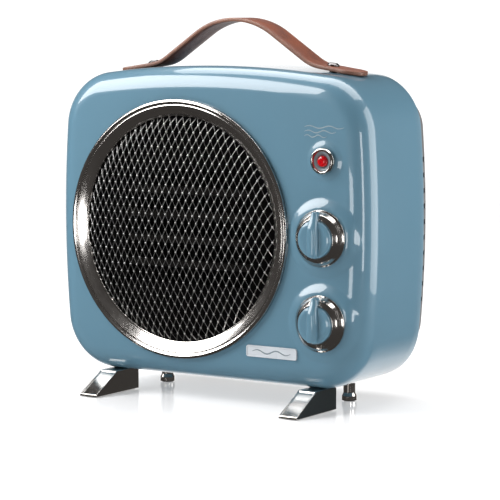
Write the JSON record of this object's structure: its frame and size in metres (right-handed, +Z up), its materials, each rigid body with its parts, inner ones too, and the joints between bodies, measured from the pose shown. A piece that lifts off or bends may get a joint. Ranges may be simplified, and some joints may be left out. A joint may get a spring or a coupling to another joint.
{
  "type": "ceramic space heater",
  "caption": "Rounded retro ceramic fan heater with a round wire-mesh outlet, turn knobs, pilot lamp, wedge feet and an arched leather strap handle.",
  "frame": {"origin": "on the ground, under the middle of the whole heater's width and depth", "axes": "+Z up, +Y towards the back, +X to the right seen from the front; the outlet and knobs face -Y"},
  "size_m": [0.286, 0.154, 0.2954],
  "materials": {
    "case_blue": "glossy",
    "cover_black": "matte",
    "chrome": "polished",
    "mesh_silver": "satin",
    "duct_black": "matte",
    "frame_dark": "matte",
    "heater_ceramic": "matte",
    "fin_aluminium": "satin",
    "fan_black": "satin",
    "steel": "satin",
    "motor_steel": "satin",
    "switch_plastic": "matte",
    "cap_blue": "glossy",
    "lamp_grey": "satin",
    "lens_red": "glossy",
    "badge_silver": "satin",
    "leather_brown": "satin",
    "rubber_black": "matte"
  },
  "bodies": {
    "housing": {"front_shell": "case_blue", "rear_cover": "cover_black", "intake_grille": "cover_black", "cord_gland": "rubber_black", "bezel_ring": "chrome", "front_mesh": "mesh_silver", "air_duct": "duct_black", "heater_frame": "frame_dark", "ceramic_bars": "heater_ceramic", "fin_banks": "fin_aluminium", "thermal_cutout": "steel", "fan_motor": "motor_steel", "motor_bracket": "steel", "thermostat_switch": "switch_plastic", "selector_switch": "switch_plastic", "lamp_bezel": "chrome", "lamp_surround": "lamp_grey", "lamp_lens": "lens_red", "lamp_holder": "switch_plastic", "badge_plate": "badge_silver", "strap": "leather_brown", "strap_spacers": "chrome", "strap_studs": "chrome", "front_foot_left": "chrome", "rear_foot_left": "chrome", "front_foot_left_pad": "rubber_black", "rear_foot_left_pad": "rubber_black", "front_foot_right": "chrome", "rear_foot_right": "chrome", "front_foot_right_pad": "rubber_black", "rear_foot_right_pad": "rubber_black", "foot_screws": "steel", "case_screws": "steel"},
    "thermostat_knob": {"thermostat_knob_skirt": "chrome", "thermostat_knob_cap": "cap_blue", "thermostat_stem": "steel"},
    "selector_knob": {"selector_knob_skirt": "chrome", "selector_knob_cap": "cap_blue", "selector_stem": "steel"},
    "fan": {"fan_rotor": "fan_black", "motor_spindle": "steel"}
  },
  "joints": [
    {"name": "thermostat_turn", "type": "hinge", "parent": "housing", "child": "thermostat_knob", "pos_m": [0.105, -0.049, 0.1333], "axis": [0, 1, 0], "range_deg": [-135, 135]},
    {"name": "selector_turn", "type": "hinge", "parent": "housing", "child": "selector_knob", "pos_m": [0.105, -0.049, 0.0698], "axis": [0, 1, 0], "range_deg": [0, 270]},
    {"name": "fan_spin", "type": "hinge", "parent": "housing", "child": "fan", "pos_m": [-0.025, 0, 0.1333], "axis": [0, 1, 0], "continuous": true}
  ]
}
